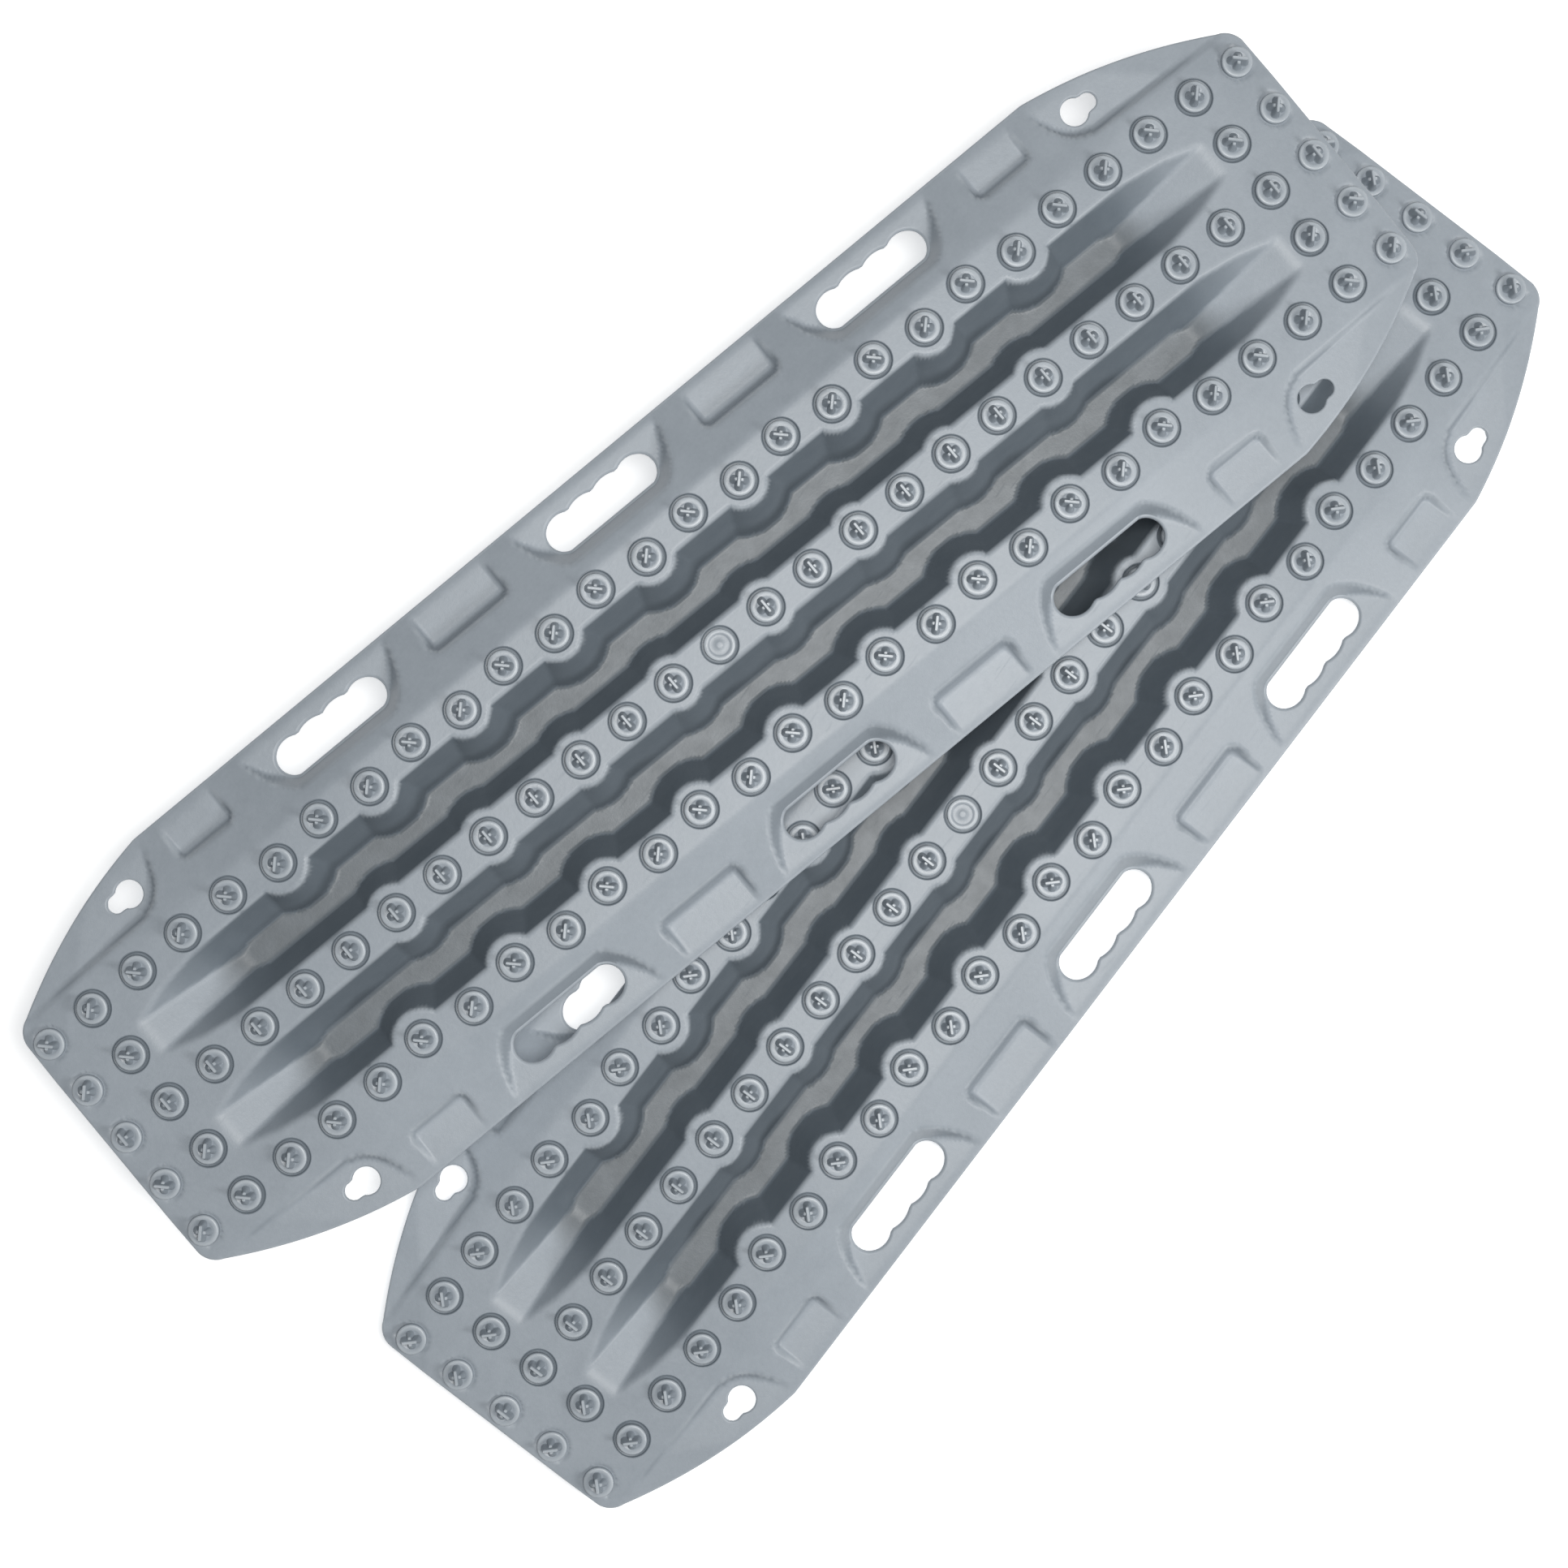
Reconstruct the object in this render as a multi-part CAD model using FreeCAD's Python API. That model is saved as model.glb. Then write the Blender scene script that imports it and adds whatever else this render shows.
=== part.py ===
import FreeCAD, Part
import math
import os

# Pair of vehicle recovery boards, one laid over the other and fanned about the vertical.
# Millimetres, +Z up. X runs along the lower board, Y across it, Z = 0 is the ground.
# The origin is under the middle of the pair's overall footprint.

# ---- whole board ----
LENGTH = 1120.0
WIDTH = 320.0
DECK_Z = 51.0            # top of the flat middle of the deck
RIM_Z = 26.5             # top of the flat rim line along both long sides
SKIN = 4.5               # moulded wall thickness
SHOULDER_Y = 99.0        # where the deck breaks into the side flank

# ---- how the deck falls away to both ends ----
CROWN_START = 200.0
CROWN_END = 340.0
END_SLOPE = 0.08

# ---- outline ----
END_HALF = 96.0          # half width of the straight end edge
CORNER = (548.0, 110.5)
ARC_MID = (478.0, 142.0)
ARC_END = (408.0, 160.0)

# ---- the two long troughs ----
TROUGH_Y = 42.8
TROUGH_FLOOR_Z = SKIN
# station along X, floor half width, mouth half width, floor height
TROUGH_STATIONS = (
    (0.0, 10.8, 27.8, TROUGH_FLOOR_Z),
    (200.0, 10.8, 27.8, TROUGH_FLOOR_Z),
    (270.0, 10.8, 27.8, TROUGH_FLOOR_Z),
    (340.0, 10.8, 27.8, TROUGH_FLOOR_Z),
    (392.0, 10.6, 27.8, TROUGH_FLOOR_Z),
    (403.0, 7.0, 27.8, TROUGH_FLOOR_Z),
    (427.0, 8.9, 27.4, 12.9),
    (458.0, 11.4, 22.6, 23.8),
    (479.0, 13.0, 16.2, 31.2),
    (491.0, 13.9, 14.6, 35.4),
)

# ---- round bosses that carry the cleats down the trough walls ----
BOSS_TOP_R = 19.7
BOSS_FOOT_R = 36.2
BOSS_OVER = 58.0         # height the boss cone is drawn to, above the deck

# ---- cleats ----
PITCH = 42.14
ROW_Y = 85.5
ROW_BOSS_Y = 80.2
MID_Y = 43.0
LAST_K = 12
END_ROW_X = 545.6
OUTER_BOSS_K = (-8, -6, -4, -2, 0, 2, 4, 6, 8)
CENTRE_BOSS_K = (-7, -5, -3, -1, 1, 3, 5, 7)
SEAT_R = 13.3
SEAT_DEPTH = 1.5
DISC_R = 11.2
DISC_PROUD = 2.6
DISC_ROUND = 1.4
BLADE_FOOT = (16.0, 6.0)
BLADE_TIP = (10.6, 2.0)
BLADE_TOP = 13.0         # tip above the deck
CROSS_FOOT = (14.3, 6.2)
CROSS_TIP = (6.0, 2.4)
CROSS_TOP = 9.5
PLUG_TOP = 0.9

# ---- flat pockets let into the flanks ----
POCKET_Z = 28.0
HANDLE_X = (-248.4, 0.0, 248.4)
HANDLE_DRAFT = 0.53
SLOT_INNER_Y = 119.7
SLOT_OUTER_Y = 146.0
SLOT_HALF = 47.0
FINGER_PITCH = 22.5
FINGER_DEEP = 3.0
PAD_X = (-124.5, 124.5)
PAD_HALF = 32.3
BADGE_X = (-366.0, 366.0)
BADGE_HALF = 22.6
PAD_INNER_Y = 127.5
PAD_DRAFT = 0.40
CORNER_DRAFT = 0.50

# ---- keyholes ----
KEY_X = 435.0
KEY_Y = 132.0
KEY_R = 10.2
KEY_LOBE_X = 446.6
KEY_LOBE_R = 6.6

# ---- where the upper board lies ----
STACK_SHIFT = (-10.7, 210.7)
STACK_TURN = -13.0
STACK_Z = 61.8

# middle of the pair's footprint, measured from the middle of the lower board
FOOTPRINT_MIDDLE = (-9.0, 149.56)

TOP_Z = 70.0


def deck_z(x):
    """Height of the deck at a distance x from the middle."""
    a = abs(x)
    if a <= CROWN_START:
        return DECK_Z
    if a <= CROWN_END:
        return DECK_Z - END_SLOPE * (a - CROWN_START) ** 2 / (2 * (CROWN_END - CROWN_START))
    return DECK_Z - END_SLOPE * ((CROWN_END - CROWN_START) / 2 + a - CROWN_END)


def deck_slope(x):
    """Fall of the deck per unit of X, positive where it falls towards +X."""
    part = (abs(x) - CROWN_START) / (CROWN_END - CROWN_START)
    return math.copysign(END_SLOPE * min(max(part, 0.0), 1.0), x)


def vec(p):
    return FreeCAD.Vector(*p)


def face_of(points):
    """Planar face through the given corner points."""
    pts = [vec(p) for p in points]
    return Part.Face(Part.makePolygon(pts + pts[:1]))


def is_flat(a, b, c, d):
    n = (vec(b) - vec(a)).cross(vec(c) - vec(a))
    return n.Length > 1e-9 and abs((vec(d) - vec(a)).dot(n) / n.Length) < 1e-6


def skin(sections):
    """Solid through rings of corner points; a twisted side panel is split in two,
    along whichever diagonal lies higher."""
    faces = [face_of(sections[0]), face_of(sections[-1])]
    for low, high in zip(sections, sections[1:]):
        n = len(low)
        for i in range(n):
            j = (i + 1) % n
            quad = (low[i], low[j], high[j], high[i])
            if is_flat(*quad):
                faces.append(face_of(quad))
                continue
            if quad[0][2] + quad[2][2] < quad[1][2] + quad[3][2]:
                quad = quad[1:] + quad[:1]
            faces.append(face_of(quad[:3]))
            faces.append(face_of((quad[0], quad[2], quad[3])))
    solid = Part.Solid(Part.makeShell(faces))
    solid.fix(1e-6, 1e-6, 1e-6)
    if solid.Volume < 0:
        solid.reverse()
    return solid


def grow(points, by):
    """Closed outline (x, y) moved outwards by a distance, corners mitred."""
    n = len(points)
    area = sum(points[i][0] * points[(i + 1) % n][1] - points[(i + 1) % n][0] * points[i][1]
               for i in range(n))
    side = 1.0 if area > 0 else -1.0
    out = []
    for i in range(n):
        ax, ay = points[i - 1]
        bx, by_ = points[i]
        cx, cy = points[(i + 1) % n]
        l1, l2 = math.hypot(bx - ax, by_ - ay), math.hypot(cx - bx, cy - by_)
        n1 = (side * (by_ - ay) / l1, -side * (bx - ax) / l1)
        n2 = (side * (cy - by_) / l2, -side * (cx - bx) / l2)
        k = by / (1 + n1[0] * n2[0] + n1[1] * n2[1])
        out.append((bx + k * (n1[0] + n2[0]), by_ + k * (n1[1] + n2[1])))
    return out


def frustum(points, z0, z1, draft):
    """Outline drawn up from z0 to z1, opening by draft per unit of height."""
    top = grow(points, draft * (z1 - z0))
    return skin([[(x, y, z0) for x, y in points], [(x, y, z1) for x, y in top]])


def prism(wire_edges, z0, z1):
    face = Part.Face(Part.Wire(wire_edges))
    face.translate(FreeCAD.Vector(0, 0, z0))
    return face.extrude(FreeCAD.Vector(0, 0, z1 - z0))


def outline_prism(z0, z1):
    """The board seen from above, drawn up as a solid."""
    def line(a, b):
        return Part.makeLine(vec(a + (0,)), vec(b + (0,)))

    def arc(a, m, b):
        return Part.Arc(vec(a + (0,)), vec(m + (0,)), vec(b + (0,))).toShape()

    half = LENGTH / 2
    end = (half, END_HALF)
    soft = (half - 3.0, END_HALF + 7.6)
    edges = []
    for sx, sy in ((1, 1), (-1, 1), (-1, -1), (1, -1)):
        def s(p):
            return (sx * p[0], sy * p[1])
        edges += [arc(s(end), s(soft), s(CORNER)), arc(s(CORNER), s(ARC_MID), s(ARC_END))]
    for sy in (1, -1):
        edges.append(line((-ARC_END[0], sy * ARC_END[1]), (ARC_END[0], sy * ARC_END[1])))
        edges.append(line((sy * half, -END_HALF), (sy * half, END_HALF)))
    return prism(Part.__sortEdges__(edges), z0, z1)


def body_block(drop, reach, bottom):
    """Solid under the deck and flanks, lowered by drop and carried out to reach in Y."""
    tip = LENGTH / 2 + 4
    stations = [tip - (tip - CROWN_END) * f / 5 for f in range(5)]
    stations += [CROWN_END - (CROWN_END - CROWN_START) * f / 4 for f in range(5)]
    xs = stations + [-s for s in reversed(stations)]
    sections = []
    for x in xs:
        deck = deck_z(x)
        fall = (deck - RIM_Z) / (WIDTH / 2 - SHOULDER_Y)
        edge = deck - fall * (reach - SHOULDER_Y)
        sections.append([(x, -reach, bottom), (x, -reach, edge - drop),
                         (x, -SHOULDER_Y, deck - drop), (x, SHOULDER_Y, deck - drop),
                         (x, reach, edge - drop), (x, reach, bottom)])
    return skin(sections)


def trough(y, outer):
    """Cutter for one trough; outer gives the same trough with the wall thickness on."""
    sections = []
    stations = list(reversed(TROUGH_STATIONS)) + [(-s[0],) + s[1:] for s in TROUGH_STATIONS[1:]]
    for x, floor_half, mouth_half, floor in stations:
        rise = deck_z(x) - floor
        lean = (mouth_half - floor_half) / rise if rise > 1.5 else 1.2
        top = deck_z(x) + 2.6
        low, wide, high = floor, floor_half, floor_half + lean * (top - floor)
        if outer:
            out = SKIN * math.sqrt(1 + lean * lean)
            low, wide, high = floor - SKIN, floor_half - SKIN * lean + out, high + out
        sections.append([(x, y - wide, low), (x, y + wide, low), (x, y + high, top),
                         (x, y - high, top)])
    return skin(sections)


def boss_cones(y, outer):
    """Cones of the bosses that stand into the trough at this y."""
    lean = (BOSS_FOOT_R - BOSS_TOP_R) / (DECK_Z - TROUGH_FLOOR_Z)
    off = SKIN * math.sqrt(1 + lean * lean) if outer else 0.0
    side = 1 if y > 0 else -1
    z0 = -2.0
    r0 = BOSS_FOOT_R + lean * (TROUGH_FLOOR_Z - z0) - off
    r1 = BOSS_TOP_R - lean * (BOSS_OVER - DECK_Z) - off
    spots = [(k * PITCH, side * ROW_BOSS_Y) for k in OUTER_BOSS_K]
    spots += [(k * PITCH, 0.0) for k in CENTRE_BOSS_K]
    return [Part.makeCone(r0, r1, BOSS_OVER - z0, vec((x, cy, z0))) for x, cy in spots]


def handle_outline(x, sy):
    half = [(40.0, SLOT_INNER_Y - 0.4), (47.5, 124.0), (54.0, 131.0), (60.0, 140.0),
            (65.5, 151.0), (69.0, 162.0), (70.5, 172.0)]
    ring = half + [(-px, py) for px, py in reversed(half)]
    return [(x + px, sy * py) for px, py in ring]


def pad_outline(x, half, sy):
    r = 5.0
    corner = [(half - r, PAD_INNER_Y), (half - 0.38 * r, PAD_INNER_Y + 0.25 * r),
              (half - 0.07 * r, PAD_INNER_Y + 0.75 * r), (half, PAD_INNER_Y + 1.5 * r),
              (half + 0.5, 172.0)]
    ring = corner + [(-px, py) for px, py in reversed(corner)]
    return [(x + px, sy * py) for px, py in ring]


def corner_outline(sx, sy):
    ring = [(545.0, 108.5), (443.0, 113.2), (431.0, 116.0), (422.0, 121.5), (415.5, 130.0),
            (410.0, 142.0), (405.5, 156.0), (403.0, 172.0), (590.0, 172.0), (590.0, 106.5)]
    return [(sx * px, sy * py) for px, py in ring]


def pocket_shapes():
    """Outline and wall draft of every flat pocket."""
    out = []
    for sy in (1, -1):
        out += [(handle_outline(x, sy), HANDLE_DRAFT) for x in HANDLE_X]
        out += [(pad_outline(x, PAD_HALF, sy), PAD_DRAFT) for x in PAD_X]
        out += [(pad_outline(x, BADGE_HALF, sy), PAD_DRAFT) for x in BADGE_X]
        out += [(corner_outline(sx, sy), CORNER_DRAFT) for sx in (1, -1)]
    return out


def hand_slot(x, sy):
    """Slot for a gloved hand, with four finger hollows along the outer edge."""
    def p(px, py):
        return vec((x + px, sy * py, 0))

    def arc(a, m, b):
        return Part.Arc(p(*a), p(*m), p(*b)).toShape()

    cusp = SLOT_OUTER_Y - FINGER_DEEP
    shoulder = (SLOT_HALF - 2.6, SLOT_OUTER_Y - 5.5)
    bend = (SLOT_HALF - 9.5, SLOT_INNER_Y)
    edges = [Part.makeLine(p(-bend[0], bend[1]), p(*bend))]
    for s in (1, -1):
        edges.append(arc((s * bend[0], bend[1]), (s * SLOT_HALF, SLOT_INNER_Y + 10.5),
                         (s * shoulder[0], shoulder[1])))
        edges.append(arc((s * shoulder[0], shoulder[1]), (s * 1.5 * FINGER_PITCH, SLOT_OUTER_Y),
                         (s * FINGER_PITCH, cusp)))
        edges.append(arc((s * FINGER_PITCH, cusp), (s * 0.5 * FINGER_PITCH, SLOT_OUTER_Y),
                         (0.0, cusp)))
    return prism(Part.__sortEdges__(edges), 10.0, TOP_Z)


def keyhole(sx, sy):
    big = Part.makeCylinder(KEY_R, 60, vec((sx * KEY_X, sy * KEY_Y, 10)))
    lobe = Part.makeCylinder(KEY_LOBE_R, 60, vec((sx * KEY_LOBE_X, sy * KEY_Y, 10)))
    return big.fuse(lobe)


def deck_placement(x, y, turn):
    """Place on the deck at x, y, square to its surface and turned about its own axis."""
    tilt = FreeCAD.Rotation(FreeCAD.Vector(0, 1, 0), math.degrees(math.atan(deck_slope(x))))
    spin = FreeCAD.Rotation(FreeCAD.Vector(0, 0, 1), turn)
    return FreeCAD.Placement(vec((x, y, deck_z(x))), tilt.multiply(spin))


def cleat_spots():
    """Every cleat as (group, x, y, turn in degrees)."""
    spots = []
    for k in range(-LAST_K, LAST_K + 1):
        end = "near_end" if k == -LAST_K else "far_end" if k == LAST_K else None
        if k != 0:
            spots.append((end or "centre_row", k * PITCH, 0.0, 90.0))
        for side, row in ((1, "left_row"), (-1, "right_row")):
            y = ROW_BOSS_Y if k in OUTER_BOSS_K else ROW_Y
            turn = 45.0 if k % 2 == 0 else -45.0
            spots.append((end or row, k * PITCH, side * y, side * turn))
            if end:
                spots.append((end, k * PITCH, side * MID_Y, -side * turn))
    for s, end in ((-1, "near_end"), (1, "far_end")):
        spots.append((end, s * END_ROW_X, 0.0, 90.0))
        for side in (1, -1):
            spots.append((end, s * END_ROW_X, side * ROW_Y, -45.0 * side))
            spots.append((end, s * END_ROW_X, side * MID_Y, 45.0 * side))
    return spots


def seat_cut(x, y):
    """Round recess square to the deck at this spot."""
    cut = Part.makeCylinder(SEAT_R, 20.0, vec((0, 0, -SEAT_DEPTH)))
    cut.Placement = deck_placement(x, y, 0.0)
    return cut


def make_shell():
    """One moulded board: the outside form less the hollow underneath."""
    base = body_block(0.0, WIDTH / 2 + 4, 0.0).common(outline_prism(-1, TOP_Z))
    under = body_block(SKIN, WIDTH / 2 + 8, -3.0)
    for y in (TROUGH_Y, -TROUGH_Y):
        base = base.cut(trough(y, False).cut(boss_cones(y, False)))
        under = under.cut(trough(y, True).cut(boss_cones(y, True)))
    cutters = []
    for ring, draft in pocket_shapes():
        cutters.append(frustum(ring, POCKET_Z, TOP_Z, draft))
        off = SKIN * math.sqrt(1 + draft * draft)
        wide = grow(ring, off - SKIN * draft)
        under = under.cut(frustum(wide, POCKET_Z - SKIN, TOP_Z, draft))
    cutters += [seat_cut(x, y) for _, x, y, _ in cleat_spots()] + [seat_cut(0.0, 0.0)]
    holes = [hand_slot(x, sy) for sy in (1, -1) for x in HANDLE_X]
    holes += [keyhole(sx, sy) for sx in (1, -1) for sy in (1, -1)]
    shell = base.cut(cutters).cut(under).cut(holes)
    solids = sorted(shell.Solids, key=lambda s: -s.Volume)
    print("shell solids", len(solids), "valid", solids[0].isValid(),
          "volume cm3", round(solids[0].Volume / 1000), [round(s.Volume) for s in solids[1:4]])
    return solids[0]


def blade(foot, tip, z0, z1):
    """Tapered block from a foot rectangle at z0 to a tip rectangle at z1."""
    rings = []
    for (length, width), z in ((foot, z0), (tip, z1)):
        x, y = length / 2, width / 2
        rings.append([(-x, -y, z), (x, -y, z), (x, y, z), (-x, y, z)])
    return skin(rings)


def make_cleat():
    """Round cleat with a raised cross tooth; z = 0 is the deck, the long blade lies along X."""
    disc = Part.makeCylinder(DISC_R, SEAT_DEPTH + DISC_PROUD, vec((0, 0, -SEAT_DEPTH)))
    rim = [e for e in disc.Edges
           if e.Closed and abs(e.BoundBox.ZMin - DISC_PROUD) < 1e-6 and e.BoundBox.ZLength < 1e-6]
    disc = disc.makeFillet(DISC_ROUND, rim)
    start = DISC_PROUD - 0.6
    long_blade = blade(BLADE_FOOT, BLADE_TIP, start, BLADE_TOP)
    cross_blade = blade(CROSS_FOOT, CROSS_TIP, start, CROSS_TOP)
    cross_blade.rotate(FreeCAD.Vector(0, 0, 0), FreeCAD.Vector(0, 0, 1), 90)
    return disc.fuse([long_blade, cross_blade]).removeSplitter()


def make_plug():
    """Plain round disc in the middle of the board, without a tooth."""
    disc = Part.makeCylinder(DISC_R, SEAT_DEPTH + PLUG_TOP, vec((0, 0, -SEAT_DEPTH)))
    rim = [e for e in disc.Edges
           if e.Closed and abs(e.BoundBox.ZMin - PLUG_TOP) < 1e-6 and e.BoundBox.ZLength < 1e-6]
    disc = disc.makeFillet(0.5, rim)
    return disc.translated(FreeCAD.Vector(0, 0, DECK_Z))


def make_cleat_group(name, cleat):
    solids = []
    for group, x, y, turn in cleat_spots():
        if group == name:
            one = cleat.copy()
            one.Placement = deck_placement(x, y, turn)
            solids.append(one)
    return Part.makeCompound(solids)


def board_placement(shift, lift, turn):
    """Place of a board whose middle lies at shift from the middle of the lower board."""
    spot = (shift[0] - FOOTPRINT_MIDDLE[0], shift[1] - FOOTPRINT_MIDDLE[1], lift)
    return FreeCAD.Placement(vec(spot), FreeCAD.Rotation(FreeCAD.Vector(0, 0, 1), turn))


def main():
    os.makedirs("parts", exist_ok=True)
    cleat = make_cleat()
    pieces = {"shell": make_shell(), "gate_plug": make_plug()}
    for name in ("left_row", "centre_row", "right_row", "near_end", "far_end"):
        pieces[name + "_cleats"] = make_cleat_group(name, cleat)
    boards = {"lower": board_placement((0.0, 0.0), 0.0, 0.0),
              "upper": board_placement(STACK_SHIFT, STACK_Z, STACK_TURN)}
    for board, place in boards.items():
        for name, shape in pieces.items():
            piece = shape.copy()
            piece.Placement = place.multiply(piece.Placement)
            piece.exportStep("parts/" + board + "_" + name + ".step")


main()
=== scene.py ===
import logging
import math
from dataclasses import dataclass, field
from enum import Enum
from typing import Callable, Sequence

import bpy
import numpy as np
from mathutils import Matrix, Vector


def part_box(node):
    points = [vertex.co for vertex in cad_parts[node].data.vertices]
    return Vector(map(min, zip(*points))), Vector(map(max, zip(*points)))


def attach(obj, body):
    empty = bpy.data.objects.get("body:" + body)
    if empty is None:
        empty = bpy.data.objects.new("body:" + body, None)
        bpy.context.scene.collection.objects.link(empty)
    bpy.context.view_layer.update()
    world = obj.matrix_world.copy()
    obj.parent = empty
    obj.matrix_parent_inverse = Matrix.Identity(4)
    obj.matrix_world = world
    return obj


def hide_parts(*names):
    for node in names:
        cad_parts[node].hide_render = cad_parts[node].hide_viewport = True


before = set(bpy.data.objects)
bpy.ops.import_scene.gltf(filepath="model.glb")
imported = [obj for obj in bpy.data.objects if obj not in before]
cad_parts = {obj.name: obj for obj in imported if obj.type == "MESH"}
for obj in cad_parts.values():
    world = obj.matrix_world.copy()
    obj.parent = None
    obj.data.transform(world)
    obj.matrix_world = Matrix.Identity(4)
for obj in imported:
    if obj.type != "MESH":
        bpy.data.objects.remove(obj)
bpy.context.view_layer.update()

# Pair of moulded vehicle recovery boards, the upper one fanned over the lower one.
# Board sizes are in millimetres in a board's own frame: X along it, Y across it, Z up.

LOG = logging.getLogger("recovery_boards")
MM = 0.001
Array = np.ndarray
Ring = list[tuple[float, float]]


# ---------------------------------------------------------------- plain shape maths

def soft_min(a: Array, b: Array, k: float) -> Array:
    """Lower of two heights, blended where they are within k of each other.

    Args:
        a: First height.
        b: Second height.
        k: Size of the blend.

    Returns:
        The blended height.
    """
    h = np.clip(0.5 + 0.5 * (b - a) / k, 0.0, 1.0)
    return b * (1 - h) + a * h - k * h * (1 - h)


def soft_max(a: Array, b: Array, k: float) -> Array:
    """Higher of two heights, blended where they are within k of each other."""
    return -soft_min(-a, -b, k)


def smooth_step(t: Array) -> Array:
    """Eased step from 0 to 1 as t goes from 0 to 1."""
    t = np.clip(t, 0.0, 1.0)
    return t * t * (3 - 2 * t)


def arc_points(a: Sequence[float], m: Sequence[float], b: Sequence[float], count: int) -> Ring:
    """Points on the arc from a through m to b, without the first one.

    Args:
        a: Start point.
        m: A point on the arc.
        b: End point.
        count: How many points.

    Returns:
        The points in order, ending at b.
    """
    (ax, ay), (mx, my), (bx, by) = a, m, b
    d = 2 * (ax * (my - by) + mx * (by - ay) + bx * (ay - my))
    sa, sm, sb = ax * ax + ay * ay, mx * mx + my * my, bx * bx + by * by
    cx = (sa * (my - by) + sm * (by - ay) + sb * (ay - my)) / d
    cy = (sa * (bx - mx) + sm * (ax - bx) + sb * (mx - ax)) / d
    start, mid, end = (math.atan2(p[1] - cy, p[0] - cx) for p in (a, m, b))
    turn = (end - start) % math.tau
    if (mid - start) % math.tau > turn:
        turn -= math.tau
    radius = math.hypot(ax - cx, ay - cy)
    steps = (start + turn * i / count for i in range(1, count + 1))
    return [(cx + radius * math.cos(t), cy + radius * math.sin(t)) for t in steps]


def ring_distance(x: Array, y: Array, ring: Ring) -> Array:
    """Signed distance to a closed outline, negative inside it.

    Args:
        x: X of each point.
        y: Y of each point.
        ring: The outline's corners.

    Returns:
        One distance for each point.
    """
    best = np.full(x.shape, 1e12)
    inside = np.zeros(x.shape, bool)
    for (ax, ay), (bx, by) in zip(ring, ring[1:] + ring[:1]):
        ex, ey = bx - ax, by - ay
        wx, wy = x - ax, y - ay
        t = np.clip((wx * ex + wy * ey) / (ex * ex + ey * ey), 0.0, 1.0)
        best = np.minimum(best, (wx - t * ex) ** 2 + (wy - t * ey) ** 2)
        if ay != by:
            inside ^= ((ay > y) != (by > y)) & (x < ex * (y - ay) / ey + ax)
    return np.where(inside, -1.0, 1.0) * np.sqrt(best)


def both_sides(half: Ring) -> Ring:
    """Closed outline from one half, mirrored about X = 0."""
    return half + [(-x, y) for x, y in reversed(half)]


# ---------------------------------------------------------------- the moulded form

class EdgeKind(Enum):
    """The edges where the top skin ends."""

    OUTLINE = 0
    HAND_SLOT = 1
    KEYHOLE = 2
    SEAT = 3


@dataclass(frozen=True)
class Trough:
    """One of the two long channels that the tyre lugs bite into."""

    middle_y: float = 42.8
    floor_z: float = 4.5
    ramp_x: float = 403.0
    ramp_rise: float = 0.35
    stations: tuple[float, ...] = (0, 340, 392, 403, 427, 458, 479, 491, 560)
    floor_half: tuple[float, ...] = (10.8, 10.8, 10.6, 7.0, 8.9, 11.4, 13.0, 13.9, 19.0)
    mouth_half: tuple[float, ...] = (27.8, 27.8, 27.8, 27.8, 27.4, 22.6, 16.2, 14.6, 12.0)

    def floor(self, x: Array) -> Array:
        """Height of the floor along the board, ramping up near both ends."""
        ramp = self.floor_z + self.ramp_rise * (np.abs(x) - self.ramp_x)
        return soft_max(np.full(x.shape, self.floor_z), ramp, 1.6)

    def lean(self, x: Array, deck: Array) -> Array:
        """How far the walls lean out per unit of height."""
        ax = np.abs(x)
        low = np.interp(ax, self.stations, self.floor_half)
        high = np.interp(ax, self.stations, self.mouth_half)
        rise = np.maximum(deck - self.floor(x), 1.0)
        return np.clip((high - low) / rise, 0.12, 1.2)

    def height(self, x: Array, y: Array, deck: Array, wall: float) -> Array:
        """Height of the channel, which runs on upwards past its mouth.

        Args:
            x: X of each point.
            y: Y of each point.
            deck: Deck height at each point.
            wall: Wall thickness to add, 0 for the upper face.

        Returns:
            One height for each point.
        """
        lean = self.lean(x, deck)
        half = np.interp(np.abs(x), self.stations, self.floor_half)
        half = half + wall * (np.sqrt(1 + lean * lean) - lean)
        floor = self.floor(x) - wall
        side = floor + (np.abs(np.abs(y) - self.middle_y) - half) / lean
        return soft_max(floor, side, 1.8)


@dataclass(frozen=True)
class Bosses:
    """Round bosses that carry cleats down the trough walls."""

    top_r: float = 19.7
    foot_r: float = 36.2
    drop: float = 46.5
    outer_y: float = 80.2
    outer_k: tuple[int, ...] = (0, 2, 4, 6, 8)
    centre_k: tuple[int, ...] = (1, 3, 5, 7)

    def height(self, x: Array, y: Array, pitch: float, deck_z: float, wall: float) -> Array:
        """Height of the nearest boss cone at each point.

        Args:
            x: X of each point.
            y: Y of each point.
            pitch: Distance between cleats along the board.
            deck_z: Height at which a cone has its top radius.
            wall: Wall thickness to take off, 0 for the upper face.

        Returns:
            One height for each point.
        """
        lean = (self.foot_r - self.top_r) / self.drop
        ax, ay = np.abs(x), np.abs(y)
        near = np.full(x.shape, 1e6)
        for k in self.outer_k:
            near = np.minimum(near, np.hypot(ax - k * pitch, ay - self.outer_y))
        for k in self.centre_k:
            near = np.minimum(near, np.hypot(ax - k * pitch, ay))
        return deck_z - (near - self.top_r + wall * math.sqrt(1 + lean * lean)) / lean


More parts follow.
